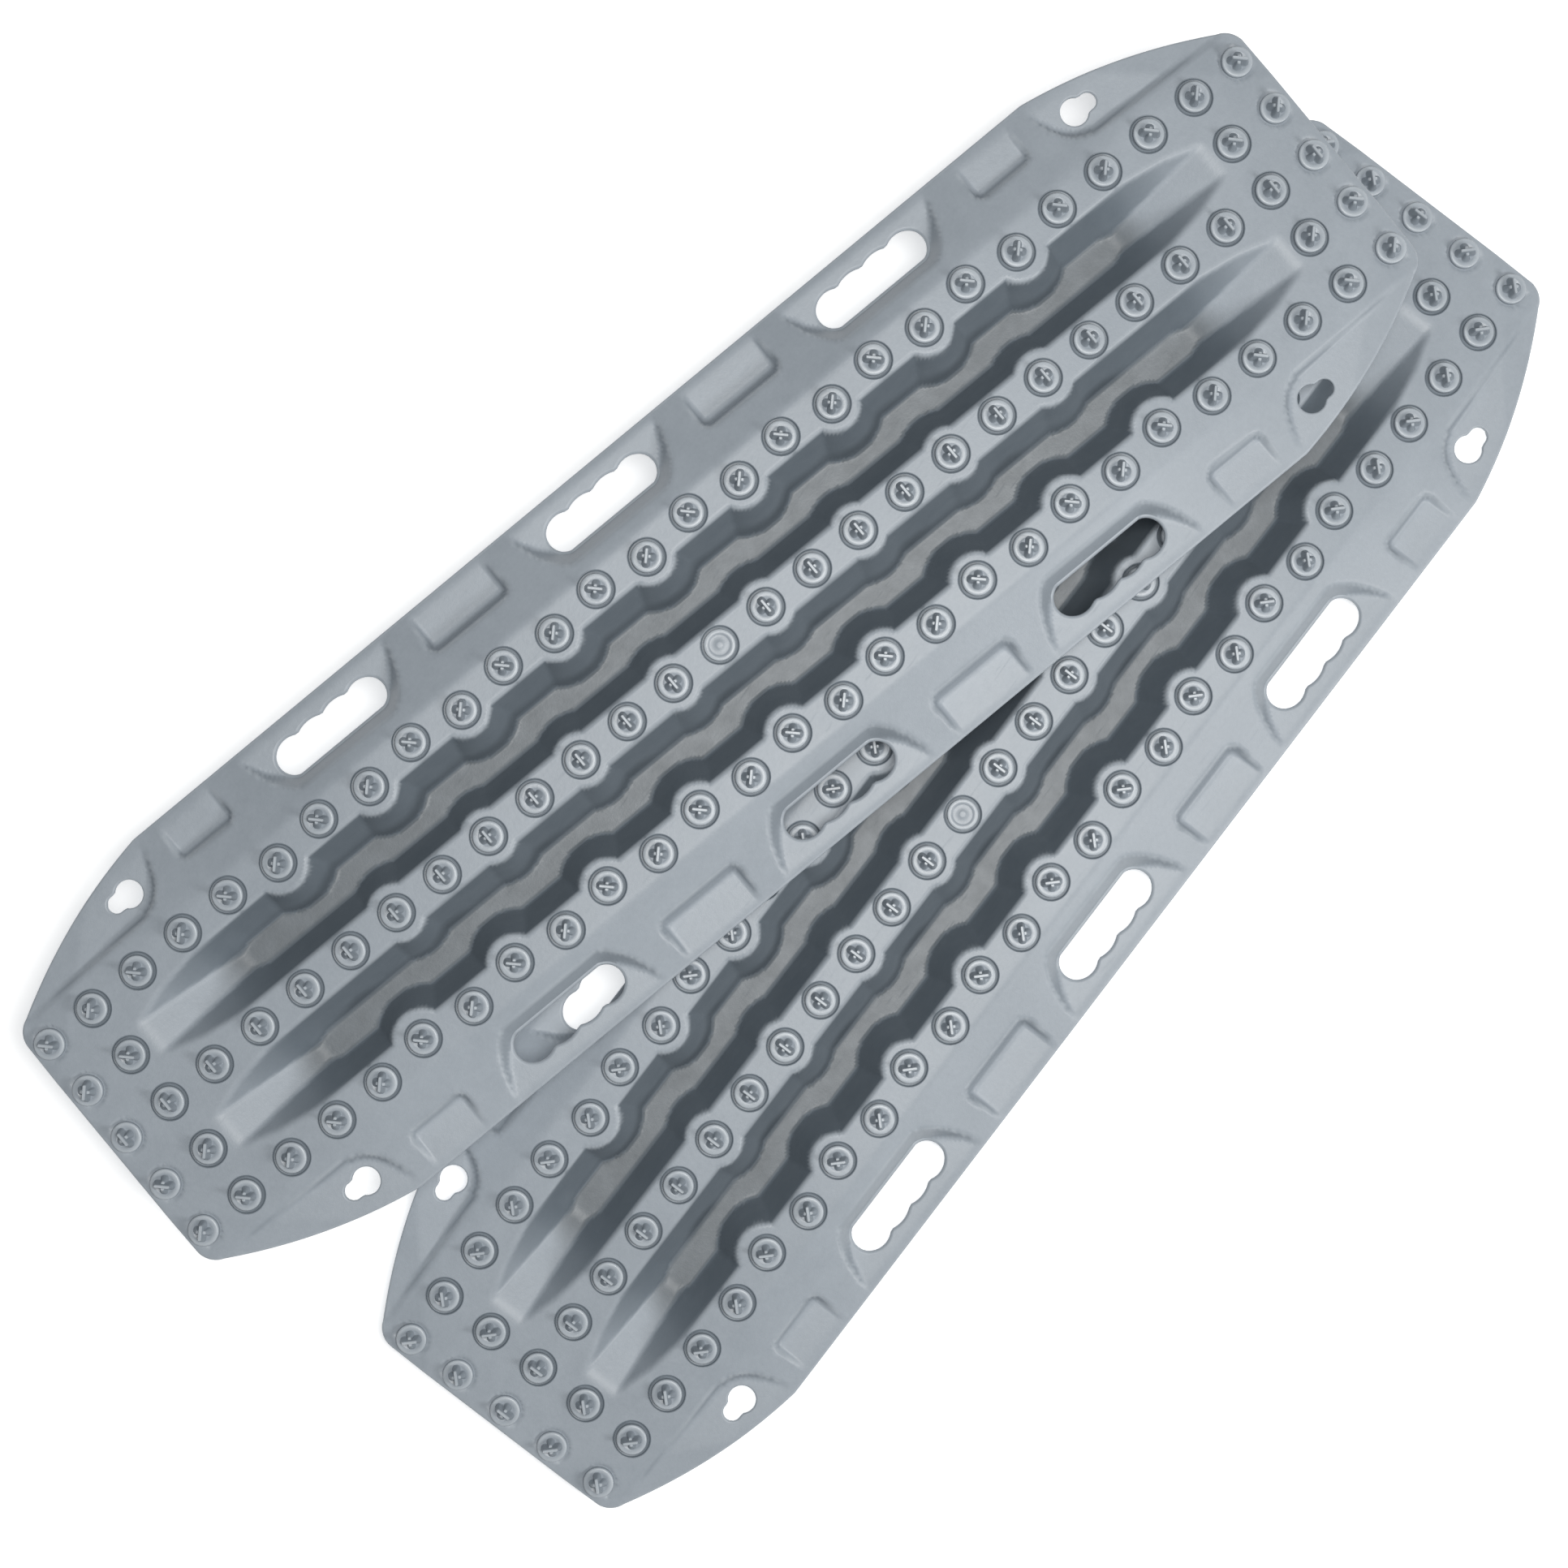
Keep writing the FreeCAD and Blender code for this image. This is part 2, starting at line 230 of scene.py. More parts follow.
@dataclass(frozen=True)
class Pocket:
    """A flat pocket let into the flank, drawn for the quarter with X and Y positive."""

    middle_x: float
    outline: tuple[tuple[float, float], ...]
    draft: float
    mirrored: bool = True

    def height(self, x: Array, y: Array, floor_z: float, wall: float) -> Array:
        """Height of the pocket, which runs on upwards past its mouth.

        Args:
            x: X of each point.
            y: Y of each point.
            floor_z: Height of the pocket's floor.
            wall: Wall thickness to add, 0 for the upper face.

        Returns:
            One height for each point.
        """
        ring = both_sides(list(self.outline)) if self.mirrored else list(self.outline)
        out = ring_distance(np.abs(x) - self.middle_x, np.abs(y), ring)
        out = out - wall * (math.sqrt(1 + self.draft ** 2) - self.draft)
        floor = np.full(x.shape, floor_z - wall)
        return soft_max(floor, floor + out / self.draft, 1.2)


def pad_outline(half: float, inner_y: float) -> tuple[tuple[float, float], ...]:
    """Half of a pad pocket with one rounded corner.

    Args:
        half: Half its length.
        inner_y: Y of its inner edge.

    Returns:
        Corner points from the inner edge outwards.
    """
    r = 5.0
    corner = arc_points((half - r, inner_y), (half - 0.3 * r, inner_y + 0.3 * r),
                        (half, inner_y + 1.1 * r), 6)
    return tuple([(half - r, inner_y)] + corner + [(half + 0.5, 172.0)])


HANDLE_OUTLINE = ((40.0, 119.3), (44.3, 121.2), (47.5, 124.0), (51.0, 127.2), (54.0, 131.0),
                  (57.3, 135.3), (60.0, 140.0), (63.1, 145.4), (65.5, 151.0), (67.6, 156.4),
                  (69.0, 162.0), (70.5, 172.0))
CORNER_OUTLINE = ((545.0, 108.5), (443.0, 113.2), (436.6, 114.2), (431.0, 116.0),
                  (426.0, 118.3), (422.0, 121.5), (418.4, 125.4), (415.5, 130.0),
                  (412.4, 136.0), (410.0, 142.0), (407.4, 149.0), (405.5, 156.0),
                  (403.0, 172.0), (590.0, 172.0), (590.0, 106.5))


@dataclass(frozen=True)
class BoardForm:
    """Every size of one moulded board, with its upper and lower surfaces as heights."""

    half_length: float = 560.0
    half_width: float = 160.0
    deck_z: float = 51.0
    rim_z: float = 26.5
    wall: float = 4.5
    shoulder_y: float = 99.0
    crown_start: float = 200.0
    crown_end: float = 340.0
    end_slope: float = 0.08
    end_half: float = 96.0
    pitch: float = 42.14
    row_y: float = 85.5
    mid_y: float = 43.0
    last_k: int = 12
    end_row_x: float = 545.6
    pocket_z: float = 28.0
    seat_r: float = 14.2
    trough: Trough = Trough()
    bosses: Bosses = Bosses()
    pockets: tuple[Pocket, ...] = (
        Pocket(0.0, HANDLE_OUTLINE, 0.53), Pocket(248.4, HANDLE_OUTLINE, 0.53),
        Pocket(124.5, pad_outline(32.3, 127.5), 0.40),
        Pocket(366.0, pad_outline(22.6, 127.5), 0.40),
        Pocket(0.0, CORNER_OUTLINE, 0.50, mirrored=False))
    slot_x: tuple[float, ...] = (0.0, 248.4)
    key_big: tuple[float, float, float] = (435.0, 132.0, 10.2)
    key_small: tuple[float, float, float] = (446.6, 132.0, 6.6)

    def deck(self, x: Array) -> Array:
        """Height of the deck, level in the middle and falling to both ends."""
        a = np.abs(x)
        span = self.crown_end - self.crown_start
        bend = self.end_slope * np.clip(a - self.crown_start, 0, span) ** 2 / (2 * span)
        return self.deck_z - bend - self.end_slope * np.maximum(a - self.crown_end, 0.0)

    def slope(self, x: float) -> float:
        """Fall of the deck per unit of X, positive where it falls towards +X."""
        part = (abs(x) - self.crown_start) / (self.crown_end - self.crown_start)
        return math.copysign(self.end_slope * min(max(part, 0.0), 1.0), x)

    def surface(self, x: Array, y: Array, wall: float) -> Array:
        """Height of the upper face, or of the lower face when wall is the thickness.

        Args:
            x: X of each point.
            y: Y of each point.
            wall: Wall thickness, 0 for the upper face.

        Returns:
            One height for each point.
        """
        deck = self.deck(x)
        fall = (deck - self.rim_z) / (self.half_width - self.shoulder_y)
        z = soft_min(deck, deck - fall * (np.abs(y) - self.shoulder_y), 1.1) - wall
        cones = self.bosses.height(x, y, self.pitch, self.deck_z, wall)
        carved = soft_max(self.trough.height(x, y, deck, wall), cones, 0.8)
        z = soft_min(z, carved, 2.6)
        for pocket in self.pockets:
            z = soft_min(z, pocket.height(x, y, self.pocket_z, wall), 1.4)
        if wall == 0:
            z = z - self.corner_fold(x, y) - self.end_dishes(x, y)
        return np.maximum(z, 0.0)

    def corner_fold(self, x: Array, y: Array) -> Array:
        """Slight fall beyond the fold line across each end corner."""
        start, end = (510.0, 104.0), (550.0, 69.0)
        nx, ny = start[1] - end[1], end[0] - start[0]
        beyond = ((np.abs(x) - start[0]) * nx + (np.abs(y) - start[1]) * ny) / math.hypot(nx, ny)
        return 0.09 * np.clip(beyond, 0.0, 24.0)

    def end_dishes(self, x: Array, y: Array) -> Array:
        """Shallow dishes round the end row of cleats, fading towards the board's edge."""
        ax, ay = np.abs(x), np.abs(y)
        near = np.full(x.shape, 1e6)
        for row in (0.0, self.mid_y, self.row_y):
            near = np.minimum(near, np.hypot(ax - self.end_row_x, ay - row))
        fade = smooth_step((self.end_row_x + 10.5 - ax) / 9.0)
        return 1.3 * smooth_step((13.9 - near) / 1.7) * fade

    def outline(self) -> Ring:
        """Outline of one quarter of the board, closed well inside it."""
        end, soft = (self.half_length, self.end_half), (self.half_length - 3, self.end_half + 7.6)
        corner, middle, straight = (548.0, 110.5), (478.0, 142.0), (408.0, 160.0)
        return ([(-90.0, -90.0), (self.half_length, -90.0), end]
                + arc_points(end, soft, corner, 7) + arc_points(corner, middle, straight, 28)
                + [(-90.0, self.half_width)])

    def slot_outline(self) -> Ring:
        """Outline of a hand slot, with four finger hollows along its outer side."""
        pitch, outer, half, inner = 22.5, 146.0, 47.0, 119.7
        cusp, shoulder, bend = outer - 3.0, (half - 2.6, outer - 5.5), (half - 9.5, inner)
        ring = [bend]
        ring += arc_points(bend, (half, inner + 10.5), shoulder, 14)
        ring += arc_points(shoulder, (1.5 * pitch, outer), (pitch, cusp), 9)
        ring += arc_points((pitch, cusp), (0.5 * pitch, outer), (0.0, cusp), 9)
        return ring[:-1] + [(0.0, cusp)] + [(-x, y) for x, y in reversed(ring[:-1])]

    def seat_spots(self) -> list[tuple[float, float]]:
        """Middle of every cleat seat in one quarter, except the end row."""
        spots = [(k * self.pitch, 0.0) for k in range(self.last_k + 1)]
        for k in range(self.last_k + 1):
            on_boss = k in self.bosses.outer_k
            spots.append((k * self.pitch, self.bosses.outer_y if on_boss else self.row_y))
        return spots + [(self.last_k * self.pitch, self.mid_y)]


@dataclass(frozen=True)
class Bead:
    """Rounded edge as (outwards, down) steps from where the top skin ends."""

    inset: float
    steps: tuple[tuple[float, float], ...]


def rolled(radius: float, depth: float, count: int = 4) -> Bead:
    """Bead with a quarter round of that radius, then straight down to a depth.

    Args:
        radius: Radius of the round.
        depth: Full depth of the edge.
        count: Steps in the round.

    Returns:
        The bead.
    """
    turns = [math.pi / 2 * i / count for i in range(1, count + 1)]
    steps = [(radius * math.sin(t), radius * (1 - math.cos(t))) for t in turns]
    low = 0.8
    steps += [(radius, depth - low), (radius - 0.25 * low, depth - 0.3 * low)]
    return Bead(radius, tuple(steps + [(radius - low, depth - 0.02)]))


# ---------------------------------------------------------------- meshes

@dataclass
class MeshParts:
    """Corner points and faces that are gathered before a mesh is made."""

    points: list[Array] = field(default_factory=list)
    faces: list[Array] = field(default_factory=list)
    shades: list[Array] = field(default_factory=list)
    count: int = 0

    def add(self, points: Array, *faces: Array,
            shade: Array | tuple[float, ...] = (0, 0, 0)) -> None:
        """Adds points and the faces that join them.

        Args:
            points: The points.
            faces: Groups of faces, counted from the first of these points.
            shade: Share of painted wall shade, painted trough-floor shade and painted edge
                highlight at each point, 0 to 1.
        """
        for some in faces:
            if len(some):
                self.faces.append(np.asarray(some) + self.count)
        self.points.append(points)
        self.shades.append(np.broadcast_to(np.asarray(shade, float), (len(points), 3)))
        self.count += len(points)

    def moved(self, move: Callable[[Array], Array]) -> "MeshParts":
        """A copy with every point moved.

        Args:
            move: Takes the points and gives them back moved.

        Returns:
            The copy.
        """
        copy = MeshParts()
        copy.add(move(np.concatenate(self.points)), *self.faces,
                 shade=np.concatenate(self.shades))
        return copy

    def build(self, name: str, finish: bpy.types.Material, crisp: float = 0.0) -> bpy.types.Object:
        """Makes the Blender object, smooth shaded.

        Args:
            name: The piece's name.
            finish: Its material.
            crisp: Angle in degrees above which an edge stays sharp, 0 for none.

        Returns:
            The object, linked to the scene.
        """
        points = np.concatenate(self.points)
        mesh = bpy.data.meshes.new(name)
        mesh.from_pydata(points.tolist(), [], [f for some in self.faces for f in some.tolist()])
        mesh.validate()
        mesh.polygons.foreach_set("use_smooth", np.ones(len(mesh.polygons), bool))
        if crisp:
            mesh.set_sharp_from_angle(angle=math.radians(crisp))
        shades = np.concatenate(self.shades)
        # The three columns are masks of painted shade on walls, painted shade on trough floors and
        # a painted highlight on edges.
        for column, label in enumerate(("painted_wall_shade", "floor_shade", "rim")):
            layer = mesh.attributes.new(label, "FLOAT", "POINT")
            layer.data.foreach_set("value", shades[:, column].astype(np.float32))
        mesh.materials.append(finish)
        piece = bpy.data.objects.new(name, mesh)
        bpy.context.scene.collection.objects.link(piece)
        return piece


@dataclass(frozen=True)
class Place:
    """Where one board lies: its middle, its lift and its turn about the vertical."""

    middle: tuple[float, float]
    lift: float
    turn: float

    def apply(self, points: Array) -> Array:
        """Points from a board's own frame, in millimetres, to the row frame in metres."""
        c, s = math.cos(self.turn), math.sin(self.turn)
        x, y, z = points.T
        moved = np.stack([c * x - s * y + self.middle[0], s * x + c * y + self.middle[1],
                          z + self.lift], axis=1)
        return moved * MM


class SkinMesher:
    """Turns the board's heights into a mesh that ends exactly on its edges."""

    # Strength of the painted shade on the steep walls of the flank pockets.
    pocket_wall_shade: float = 0.30

    def __init__(self, form: BoardForm, beads: dict[EdgeKind, Bead]) -> None:
        """Keeps the form and its edge beads."""
        self.form = form
        self.beads = beads
        self.outline = form.outline()
        self.slot = form.slot_outline()
        self.seats = form.seat_spots()

    def distance(self, kind: EdgeKind, x: Array, y: Array) -> Array:
        """Distance from an edge of one kind, positive on the board.

        Args:
            kind: Which edge.
            x: X of each point.
            y: Y of each point.

        Returns:
            One distance for each point.
        """
        ax, ay = np.abs(x), np.abs(y)
        if kind is EdgeKind.OUTLINE:
            return -ring_distance(ax, ay, self.outline)
        if kind is EdgeKind.HAND_SLOT:
            return np.minimum(*(ring_distance(ax - sx, ay, self.slot) for sx in self.form.slot_x))
        if kind is EdgeKind.KEYHOLE:
            return np.minimum(*(np.hypot(ax - kx, ay - ky) - r
                                for kx, ky, r in (self.form.key_big, self.form.key_small)))
        near = np.full(x.shape, 1e6)
        for sx, sy in self.seats:
            near = np.minimum(near, np.hypot(ax - sx, ay - sy))
        return near - self.form.seat_r

    def margins(self, x: Array, y: Array, kinds: Sequence[EdgeKind], spare: float) -> Array:
        """Distance from where the skin ends, one row for each kind of edge."""
        rows = [self.distance(k, x, y) - max(self.beads[k].inset + spare, 0.0) for k in kinds]
        return np.stack(rows)

    def gradient(self, field_of: Callable[[Array, Array], Array], x: Array,
                 y: Array) -> tuple[Array, Array]:
        """Unit direction in which a distance grows."""
        e = 0.05
        gx = field_of(x + e, y) - field_of(x - e, y)
        gy = field_of(x, y + e) - field_of(x, y - e)
        size = np.maximum(np.hypot(gx, gy), 1e-9)
        return gx / size, gy / size

    def clip(self, xs: Array, ys: Array, kinds: Sequence[EdgeKind],
             spare: float) -> tuple[Array, Array, Array]:
        """Triangles over the board's plan, cut back to its edges.

        Args:
            xs: Grid lines along the board.
            ys: Grid lines across it.
            kinds: The edges to stop at.
            spare: Extra inset at every edge.

        Returns:
            X and Y of each point, and the triangles.
        """
        gx, gy = (g.ravel() for g in np.meshgrid(xs, ys, indexing="ij"))

        def margin(x: Array, y: Array) -> Array:
            """Smallest distance inside any edge."""
            return self.margins(x, y, kinds, spare).min(axis=0)

        m = margin(gx, gy)
        step = float(np.median(np.diff(xs)))
        close = np.abs(m) < 0.3 * step
        x, y = gx.copy(), gy.copy()
        for _ in range(2):
            dx, dy = self.gradient(margin, x[close], y[close])
            off = margin(x[close], y[close])
            x[close] -= off * dx
            y[close] -= off * dy
        m[close] = 0.0
        nx, ny = len(xs), len(ys)
        index = np.arange(nx * ny).reshape(nx, ny)
        a, b, c, d = index[:-1, :-1], index[1:, :-1], index[1:, 1:], index[:-1, 1:]
        flip = (np.add.outer(np.arange(nx - 1), np.arange(ny - 1)) % 2).astype(bool)
        one = np.where(flip[..., None], np.stack([a, b, c], -1), np.stack([a, b, d], -1))
        two = np.where(flip[..., None], np.stack([a, c, d], -1), np.stack([b, c, d], -1))
        tris = np.concatenate([one.reshape(-1, 3), two.reshape(-1, 3)])
        tris = tris[(m[tris] > 0).any(axis=1)]
        whole = tris[(m[tris] >= 0).all(axis=1)]
        return self.cut_triangles(x, y, m, whole, tris[(m[tris] < 0).any(axis=1)], margin)

    def cut_triangles(self, x: Array, y: Array, m: Array, whole: Array, crossed: Array,
                      margin: Callable[[Array, Array], Array]) -> tuple[Array, Array, Array]:
        """Cuts the triangles that cross an edge.

        Args:
            x: X of each grid point.
            y: Y of each grid point.
            m: Margin of each grid point.
            whole: Triangles kept as they are.
            crossed: Triangles that cross an edge.
            margin: The margin anywhere.

        Returns:
            X and Y of the used points, and all the triangles.
        """
        made: dict[tuple[int, int], int] = {}
        pairs: list[tuple[int, int]] = []

        def between(p: int, q: int) -> int:
            """Number of the point where the edge between two points is cut."""
            key = (min(p, q), max(p, q))
            if key not in made:
                made[key] = len(x) + len(pairs)
                pairs.append((p, q))
            return made[key]

        extra: list[tuple[int, int, int]] = []
        for tri in crossed.tolist():
            poly: list[int] = []
            for p, q in zip(tri, tri[1:] + tri[:1]):
                if m[p] >= 0:
                    poly.append(p)
                if m[p] * m[q] < 0:
                    poly.append(between(p, q))
            extra += [(poly[0], poly[i], poly[i + 1]) for i in range(1, len(poly) - 1)]
        p, q = np.array(pairs).T
        t = m[p] / (m[p] - m[q])
        cx, cy = x[p] + t * (x[q] - x[p]), y[p] + t * (y[q] - y[p])
        for _ in range(2):
            dx, dy = self.gradient(margin, cx, cy)
            off = margin(cx, cy)
            cx, cy = cx - off * dx, cy - off * dy
        x, y = np.concatenate([x, cx]), np.concatenate([y, cy])
        tris = np.concatenate([whole, np.array(extra)])
        used, flat = np.unique(tris, return_inverse=True)
        return x[used], y[used], flat.reshape(-1, 3)

    def top(self, fine: float, finer: float) -> MeshParts:
        """Upper skin with its rolled edges and the cleat seats.

        Args:
            fine: Grid step over most of the board.
            finer: Grid step near both ends.

        Returns:
            The mesh, in a board's own frame.
        """
        kinds = list(EdgeKind)
        dense = 531.0
        middle = np.linspace(-dense, dense, round(2 * dense / fine) + 1)
        end = np.linspace(dense, self.form.half_length,
                          round((self.form.half_length - dense) / finer) + 1)[1:]
        xs = np.concatenate([-end[::-1], middle, end])
        wide = self.form.half_width
        half = np.concatenate([self.even(0.0, 12.0, fine), self.even(12.0, 74.0, 0.77 * fine),
                               self.even(74.0, wide, 1.14 * fine)])
        ys = np.concatenate([-half[::-1], [0.0], half])
        x, y, tris = self.clip(xs, ys, kinds, 0.0)
        z = self.form.surface(x, y, 0.0)
        parts = MeshParts()
        parts.add(np.stack([x, y, z], axis=1), tris, shade=self.shade(x, y, z))
        self.add_beads(parts, x, y, z, tris, kinds)
        return parts

    @staticmethod
    def even(start: float, stop: float, step: float) -> Array:
        """Evenly spaced grid lines after start, up to and with stop."""
        return np.linspace(start, stop, round((stop - start) / step) + 1)[1:]

    def shade(self, x: Array, y: Array, z: Array) -> Array:
        """Where the upper face gets painted wall shade, painted shade on its trough floors, and a
        painted highlight on its convex edges.

        Args:
            x: X of each point.
            y: Y of each point.
            z: Z of each point.

        Returns:
            Three columns, each 0 to 1.
        """
        e = 0.4
        gx = self.form.surface(x + e, y, 0.0) - self.form.surface(x - e, y, 0.0)
        gy = self.form.surface(x, y + e, 0.0) - self.form.surface(x, y - e, 0.0)
        steep = smooth_step((np.hypot(gx, gy) / (2 * e) - 0.8) / 0.9)
        inside = smooth_step((97.0 - np.abs(y)) / 3.0)
        # Painted shade on steep trough walls below the deck, and a weaker share on the flank
        # pockets' walls.
        wall = inside * steep * smooth_step((self.form.deck(x) - z + 1.0) / 5.0)
        wall = wall + (1 - inside) * steep * self.pocket_wall_shade
        # Painted shade on the flat floors low in the troughs.
        floor_shade = inside * (1 - steep) * smooth_step((15.0 - z) / 10.0)
        # Painted highlight on convex edges, found from how far a point stands above its
        # neighbours.
        reach = 1.5
        around = sum(self.form.surface(x + dx, y + dy, 0.0)
                     for dx, dy in ((reach, 0), (-reach, 0), (0, reach), (0, -reach)))
        rim = smooth_step(((4 * z - around) / reach ** 2 - 0.12) / 0.9)
        return np.stack([wall, floor_shade, rim], axis=1)

    def add_beads(self, parts: MeshParts, x: Array, y: Array, z: Array, tris: Array,
                  kinds: Sequence[EdgeKind]) -> None:
        """Carries every open edge of the skin down its bead.

        Args:
            parts: The mesh to add to, which already holds the skin.
            x: X of the skin's points.
            y: Y of the skin's points.
            z: Z of the skin's points.
            tris: The skin's triangles.
            kinds: The kinds of edge, in the order of their margins.
        """
        sides = np.concatenate([tris[:, [0, 1]], tris[:, [1, 2]], tris[:, [2, 0]]])
        codes = sides.min(axis=1) * len(x) + sides.max(axis=1)
        _, where, counts = np.unique(codes, return_index=True, return_counts=True)
        open_sides = sides[where[counts == 1]]
        kind_at = np.abs(self.margins(x, y, kinds, 0.0)).argmin(axis=0)
        for number, kind in enumerate(kinds):
            mine = open_sides[kind_at[open_sides[:, 0]] == number]
            if not len(mine):
                continue
            ends, flat = np.unique(mine, return_inverse=True)
            a, b = flat.reshape(-1, 2).T
            ex, ey, ez = x[ends], y[ends], z[ends]
            gx, gy = self.gradient(lambda u, v, k=kind: self.distance(k, u, v), ex, ey)
            rings = [np.stack([ex, ey, ez], axis=1)]
            for out, down in self.beads[kind].steps:
                rings.append(self.bead_ring(kind, ex, ey, ez, gx, gy, out, down))
            n = len(ends)
            quads = [np.stack([b + j * n, a + j * n, a + (j + 1) * n, b + (j + 1) * n], axis=1)
                     for j in range(len(rings) - 1)]
            # Seat grooves get painted shade; the other rolled edges get a painted highlight.
            shade = (0.8, 0.0, 0.0) if kind is EdgeKind.SEAT else (0.0, 0.0, 0.5)
            parts.add(np.concatenate(rings), *quads, shade=shade)

    def bead_ring(self, kind: EdgeKind, x: Array, y: Array, z: Array, gx: Array, gy: Array,
                  out: float, down: float) -> Array:
        """One ring of a bead; a seat's rings settle onto the plane of its floor."""
        px, py = x - out * gx, y - out * gy
        if kind is EdgeKind.SEAT:
            share = min(out / 0.9, 1.0)
            pz = (1 - share) * z + share * self.form.deck(px) - down
        else:
            pz = z - down
        return np.stack([px, py, pz], axis=1)

    def bottom(self, coarse: float) -> MeshParts:
        """Lower skin, lapped a little over the beads so that no gap shows.

        Args:
            coarse: Grid step.

        Returns:
            The mesh, in a board's own frame, facing down.
        """
        kinds = [EdgeKind.OUTLINE, EdgeKind.HAND_SLOT, EdgeKind.KEYHOLE]
        long, wide = self.form.half_length, self.form.half_width
        xs = np.linspace(-long, long, round(2 * long / coarse) + 1)
        ys = np.linspace(-wide, wide, round(2 * wide / coarse) + 1)
        x, y, tris = self.clip(xs, ys, kinds, -0.9)
        z = self.form.surface(x, y, self.form.wall)
        parts = MeshParts()
        parts.add(np.stack([x, y, z], axis=1), tris[:, ::-1])
        return parts


@dataclass(frozen=True)
class Cleat:
    """Round cleat with a cross-shaped tooth; Z = 0 is the deck."""

    disc_r: float = 11.2
    seat_drop: float = 2.1
    proud: float = 2.6
    rounding: float = 1.5
    hub_r: float = 7.3
    blade_foot: tuple[float, float] = (15.6, 5.8)
    blade_tip: tuple[float, float] = (10.6, 1.9)
    blade_top: float = 13.0
    cross_foot: tuple[float, float] = (14.0, 6.0)
    cross_tip: tuple[float, float] = (6.0, 2.2)
    cross_top: float = 9.5
    segments: int = 44

    def lathe(self, profile: Sequence[tuple[float, float]]) -> MeshParts:
        """Turned body from a profile that starts low outside and ends on the axis.

        Args:
            profile: (radius, height) pairs, the last one on the axis.

        Returns:
            The mesh.
        """
        n = self.segments
        turn = np.arange(n) * math.tau / n
        rings = [np.stack([r * np.cos(turn), r * np.sin(turn), np.full(n, h)], axis=1)
                 for r, h in profile[:-1]]
        i = np.arange(n)
        j = (i + 1) % n
        quads = [np.stack([i + k * n, j + k * n, j + (k + 1) * n, i + (k + 1) * n], axis=1)
                 for k in range(len(rings) - 1)]
        top = (len(rings) - 1) * n
        centre = np.array([[0.0, 0.0, profile[-1][1]]])
        parts = MeshParts()
        # Rings down in the seat get painted shade and rings near the disc's rim a painted
        # highlight.
        low = np.array([h < 0.4 for _, h in profile[:-1]], float)
        wall = np.append(np.repeat(low, n), 0.0)
        rim = np.append(np.repeat([float(0.86 * self.disc_r < r < 0.98 * self.disc_r)
                                   for r, _ in profile[:-1]], n), 0.0)
        shade = np.stack([wall, 0.0 * wall, rim], axis=1)
        parts.add(np.concatenate(rings + [centre]), *quads,
                  np.stack([i + top, j + top, np.full(n, top + n)], axis=1), shade=shade)
        return parts

    def disc(self) -> MeshParts:
        """The round foot, with a rounded rim and a shallow step down to the hub."""
        turns = [math.pi / 2 * i / 4 for i in range(5)]
        edge = [(self.disc_r - self.rounding * (1 - math.cos(t)),
                 self.proud - self.rounding * (1 - math.sin(t))) for t in turns]
        hub = [(self.hub_r, self.proud), (self.hub_r - 0.45, self.proud - 0.12),
               (self.hub_r - 0.9, self.proud - 0.35)]
        return self.lathe([(self.disc_r, -self.seat_drop)] + edge + hub + [(0, self.proud - 0.35)])

    def blade(self, foot: tuple[float, float], tip: tuple[float, float], top: float,
              turned: bool) -> MeshParts:
        """Tapered blade with rounded corners, a flared foot and an eased tip.

        Args:
            foot: Length and width at the foot.
            tip: Length and width at the tip.
            top: Height of the tip.
            turned: Whether the blade lies across instead of along X.

        Returns:
            The mesh.
        """
        start = self.proud - 0.6
        rings = []
        n = 20
        turn = np.arange(n) * math.tau / n + 0.5 * math.tau / n
        c, s = np.cos(turn), np.sin(turn)
        levels = ((-0.03, 1.5), (0.04, 0.7), (0.14, 0.15), (0.5, 0.0), (0.86, 0.0), (0.96, -0.1),
                  (1.0, -0.45))
        for share, swell in levels:
            h = start + (top - start) * share
            f = min(max(share, 0.0), 1.0)
            length = foot[0] + (tip[0] - foot[0]) * f + swell
            width = foot[1] + (tip[1] - foot[1]) * f + swell
            corner = width * 0.42
            px = np.sign(c) * (length / 2 - corner) + corner * c
            py = np.sign(s) * (width / 2 - corner) + corner * s
            rings.append(np.stack([-py, px, np.full(n, h)] if turned
                                  else [px, py, np.full(n, h)], axis=1))
        i = np.arange(n)
        j = (i + 1) % n
        quads = [np.stack([i + k * n, j + k * n, j + (k + 1) * n, i + (k + 1) * n], axis=1)
                 for k in range(len(rings) - 1)]
        # The blade's sides get painted shade and its tip a painted highlight.
        dark = np.repeat([float(0.04 < share < 0.9) for share, _ in levels], n)
        tip_rim = np.repeat([float(share > 0.9) for share, _ in levels], n)
        parts = MeshParts()
        parts.add(np.concatenate(rings), *quads, np.array([i + (len(rings) - 1) * n]),
                  shade=np.stack([0.5 * dark, 0.0 * dark, tip_rim], axis=1))
        return parts

    def whole(self) -> MeshParts:
        """Disc and both blades as one set of mesh parts."""
        parts = self.disc()
        for piece in (self.blade(self.blade_foot, self.blade_tip, self.blade_top, False),
                      self.blade(self.cross_foot, self.cross_tip, self.cross_top, True)):
            parts.add(np.concatenate(piece.points), *piece.faces,
                      shade=np.concatenate(piece.shades))
        return parts

    def blank(self) -> MeshParts:
        """The plain disc that closes the moulding gate, with a faint dimple."""
        proud = 0.9
        edge = [(self.disc_r, proud - 0.5), (self.disc_r - 0.15, proud - 0.16),
                (self.disc_r - 0.5, proud)]
        hub = [(7.9, proud), (7.5, proud - 0.25), (6.9, proud - 0.32), (3.2, proud - 0.3),
               (2.6, proud - 0.05), (1.6, proud + 0.02)]
        return self.lathe([(self.disc_r, -self.seat_drop)] + edge + hub + [(0, proud + 0.05)])


# ---------------------------------------------------------------- finishes

